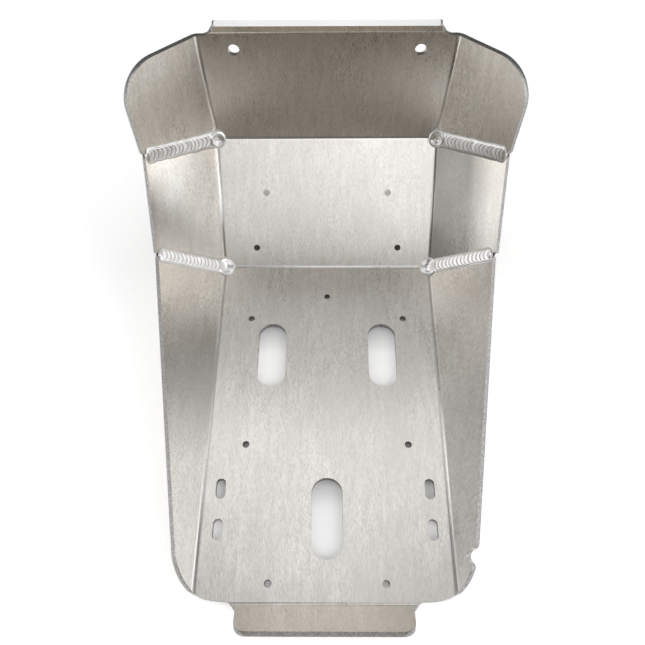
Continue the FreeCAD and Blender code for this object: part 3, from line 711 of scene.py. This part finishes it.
def bead_mesh(name, seam, kind, mirror):
    random = np.random.default_rng(BEAD_SEEDS[kind] + mirror)
    ripples = ripple_list(seam, random)
    low = np.array(GRID_LOW)
    high = np.array([seam.length + GRID_PAST, GRID_SIDE, GRID_TOP])
    steps = ((high - low) / GRID).astype(int) + 1
    axes = [low[i] + GRID * np.arange(steps[i]) for i in range(3)]
    u, v, w = np.meshgrid(*axes, indexing="ij")
    values = bead_field(seam, kind, u, v, w, ripples, random)
    local, faces = skin(values, GRID, low)
    points = seam.corner + local[:, :1] * seam.along + local[:, 1:2] * seam.across + local[:, 2:] * seam.crown
    turned = np.dot(np.cross(seam.along, seam.across), seam.crown) < 0.0
    if mirror:
        points = points * np.array([-1.0, 1.0, 1.0])
    if turned != mirror:
        faces = faces[:, ::-1]
    mesh = bpy.data.meshes.new(name)
    mesh.from_pydata((points * MM).tolist(), [], faces.tolist())
    # Painted shade in the creases, with some oxide, and at the bead's foot
    weld_shade = CREASE[kind] * crease_depth(seam, local, ripples)
    dull = mesh.attributes.new("weld_shade", "FLOAT", "POINT")
    dull.data.foreach_set("value", np.maximum(weld_shade, TOE_SHARE[kind] * toe_shade(seam, local)))
    mesh.shade_smooth()
    piece = bpy.data.objects.new(name, mesh)
    bpy.context.scene.collection.objects.link(piece)
    return piece


def add_camera():
    yaw, down, roll = (math.radians(a) for a in (CAMERA_YAW, CAMERA_DOWN, CAMERA_ROLL))
    right = Vector((math.cos(yaw), math.sin(yaw), 0.0))
    ahead = Vector((-math.sin(yaw), math.cos(yaw), 0.0)) * math.cos(down) + Vector((0, 0, -math.sin(down)))
    below = ahead.cross(right)
    x_axis = right * math.cos(roll) + below * math.sin(roll)
    y_axis = right * math.sin(roll) - below * math.cos(roll)
    data = bpy.data.cameras.new("camera")
    data.sensor_width = SENSOR
    data.lens = SENSOR * FOCAL_WIDTHS
    data.clip_start = CLIP_START
    data.dof.use_dof = False
    camera = bpy.data.objects.new("camera", data)
    bpy.context.scene.collection.objects.link(camera)
    turn = Matrix((x_axis, y_axis, -ahead)).transposed()
    camera.matrix_world = Matrix.Translation(CAMERA_PLACE) @ turn.to_4x4()
    bpy.context.scene.camera = camera


def add_lamp(name, place, target, width, power):
    data = bpy.data.lights.new(name, "AREA")
    data.shape = "SQUARE"
    data.size = width
    data.energy = power
    lamp = bpy.data.objects.new(name, data)
    bpy.context.scene.collection.objects.link(lamp)
    aim = Vector(target) - Vector(place)
    lamp.matrix_world = Matrix.Translation(place) @ aim.to_track_quat("-Z", "Y").to_matrix().to_4x4()


def add_softboxes():
    for name, (above, around, width, power) in SOFTBOXES.items():
        above, around = math.radians(above), math.radians(around)
        level = math.cos(above)
        place = Vector((math.sin(around) * level, math.cos(around) * level, math.sin(above)))
        place = place * LAMP_DISTANCE
        place.z = max(place.z + LAMP_LIFT, LOWEST_LAMP)
        add_lamp(name, place, (0.0, 0.0, LAMP_LIFT), width, power)


def seen_share(g, glossy):
    """1 for what the camera sees, straight or through something clear, and a share of it for the metal."""
    paths = g.node("ShaderNodeLightPath")
    seen = g.math("ADD", paths.outputs["Is Camera Ray"], paths.outputs["Is Transmission Ray"])
    return g.math("ADD", seen, g.math("MULTIPLY", paths.outputs["Is Glossy Ray"], glossy), clamp=True)


def add_stage(name, corners, material):
    mesh = bpy.data.meshes.new(name)
    mesh.from_pydata(corners, [], [(0, 1, 2, 3)])
    mesh.materials.append(material)
    piece = bpy.data.objects.new(name, mesh)
    bpy.context.scene.collection.objects.link(piece)
    return piece


def add_both(g, diffuse, glow):
    """A surface that is diffuse and glows."""
    both = g.node("ShaderNodeAddShader")
    g.link(diffuse.outputs[0], both.inputs[0])
    g.link(glow.outputs[0], both.inputs[1])
    end = g.node("ShaderNodeOutputMaterial")
    g.link(both.outputs[0], end.inputs["Surface"])


def under_plate(g, spot):
    """1 on the floor under the plate, with soft edges at the front and the sides."""
    front = g.span(spot["Y"], UNDER_FRONT, UNDER_FRONT + UNDER_FADE, 1.0, 0.0)
    along = g.math("MULTIPLY", g.above(spot["Y"], UNDER_REAR), front)
    across = g.math("ABSOLUTE", spot["X"])
    sides = g.span(across, UNDER_HALF - UNDER_INSIDE, UNDER_HALF + UNDER_OUTSIDE, 1.0, 0.0)
    return g.math("MULTIPLY", along, sides)


def add_floor():
    g = Graph("pale_floor")
    seen = seen_share(g, FLOOR_GLOSSY)
    place = g.node("ShaderNodeTexCoord").outputs["Object"]
    spot = g.parts(place)
    under = under_plate(g, spot)
    tone = g.span(seen, 0.0, 1.0, FLOOR_TONE, FLOOR_SEEN_TONE)
    # Painted shadow: the floor under the plate is darker, by place from tail to nose
    painted_shadow = g.math("MULTIPLY", under, g.math("SUBTRACT", 1.0, g.steps(spot["Y"], UNDER_SHADOW_TONES)))
    diffuse = g.node("ShaderNodeBsdfDiffuse")
    g.link(g.math("MULTIPLY", tone, g.math("SUBTRACT", 1.0, painted_shadow)), diffuse.inputs["Color"])
    away = g.node("ShaderNodeVectorMath", operation="LENGTH")
    g.link(place, away.inputs[0])
    glow_level = g.span(away.outputs["Value"], GLOW_START, GLOW_END, GLOW_NEAR, GLOW_FAR)
    glow_level = g.math("MULTIPLY", glow_level, g.math("SUBTRACT", 1.0, under))
    glow = g.node("ShaderNodeEmission")
    g.link(g.math("MULTIPLY", seen, glow_level), glow.inputs["Strength"])
    add_both(g, diffuse, glow)
    half, low = FLOOR_HALF_SIZE, FLOOR_HEIGHT
    corners = [(-half, -half, low), (half, -half, low), (half, half, low), (-half, half, low)]
    add_stage("floor", corners, g.material)


def add_dark_card():
    """A card such as a photographer stands up beside metal. Only reflections see it."""
    g = Graph("dark_card")
    diffuse = g.node("ShaderNodeBsdfDiffuse")
    diffuse.inputs["Color"].default_value = CARD_COLOUR
    glow = g.node("ShaderNodeEmission")
    glow.inputs["Color"].default_value = CARD_TONE
    add_both(g, diffuse, glow)
    wide = CARD_HALF_WIDTH
    card = add_stage("dark_card", [(-wide, CARD_FOOT, 0), (wide, CARD_FOOT, 0), (wide, CARD_TOP, CARD_HEIGHT),
                                   (-wide, CARD_TOP, CARD_HEIGHT)], g.material)
    card.visible_camera = False
    card.visible_shadow = False
    card.visible_diffuse = False
    card.visible_transmission = False


class WorldGraph(Graph):
    """The same short words for the world's node tree."""

    def __init__(self, name):
        self.world = bpy.data.worlds.new(name)
        self.world.use_nodes = True
        self.tree = self.world.node_tree
        self.tree.nodes.clear()


def add_world():
    g = WorldGraph("studio")
    background = g.node("ShaderNodeBackground")
    background.inputs["Color"].default_value = (1, 1, 1, 1)
    level = g.span(seen_share(g, WORLD_GLOSSY), 0.0, 1.0, WORLD_LIGHT, WORLD_SEEN)
    g.link(level, background.inputs["Strength"])
    end = g.node("ShaderNodeOutputWorld")
    g.link(background.outputs[0], end.inputs["Surface"])
    bpy.context.scene.world = g.world


def dress_sheet(sheet, material):
    """Softens the sheet's cut edges a little and gives it its material."""
    mesh = sheet.data
    for number in range(len(mesh.materials)):
        mesh.materials[number] = material
    if not mesh.materials:
        mesh.materials.append(material)
    weld = sheet.modifiers.new("join", "WELD")
    weld.merge_threshold = MERGE_DISTANCE
    flat = sheet.modifiers.new("flat", "DECIMATE")
    flat.decimate_type = "DISSOLVE"
    flat.angle_limit = math.radians(FLAT_ANGLE)
    bevel = sheet.modifiers.new("edges", "BEVEL")
    bevel.width = EDGE_WIDTH
    bevel.segments = EDGE_SEGMENTS
    bevel.limit_method = "ANGLE"
    bevel.angle_limit = math.radians(EDGE_ANGLE)
    bevel.harden_normals = True


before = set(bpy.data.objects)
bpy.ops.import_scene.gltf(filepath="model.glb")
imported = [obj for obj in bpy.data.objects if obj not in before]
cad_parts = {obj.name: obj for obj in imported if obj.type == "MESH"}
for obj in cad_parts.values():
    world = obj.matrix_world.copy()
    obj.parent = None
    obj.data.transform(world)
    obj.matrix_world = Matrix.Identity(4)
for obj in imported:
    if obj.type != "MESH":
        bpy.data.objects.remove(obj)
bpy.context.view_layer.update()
bpy.context.scene.view_settings.view_transform = "Standard"
add_camera()
add_floor()
add_dark_card()
add_world()
add_softboxes()

dress_sheet(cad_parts["skid_plate"], brushed_sheet())
metal = weld_metal()
for side, widths in SIDES.items():
    for place, seam in seams(widths).items():
        piece = bead_mesh("bead_%s_%s" % (place, side), seam, place, side == "left")
        piece.data.materials.append(metal)
        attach(piece, "root")
        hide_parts("weld_%s_%s" % (place, side))
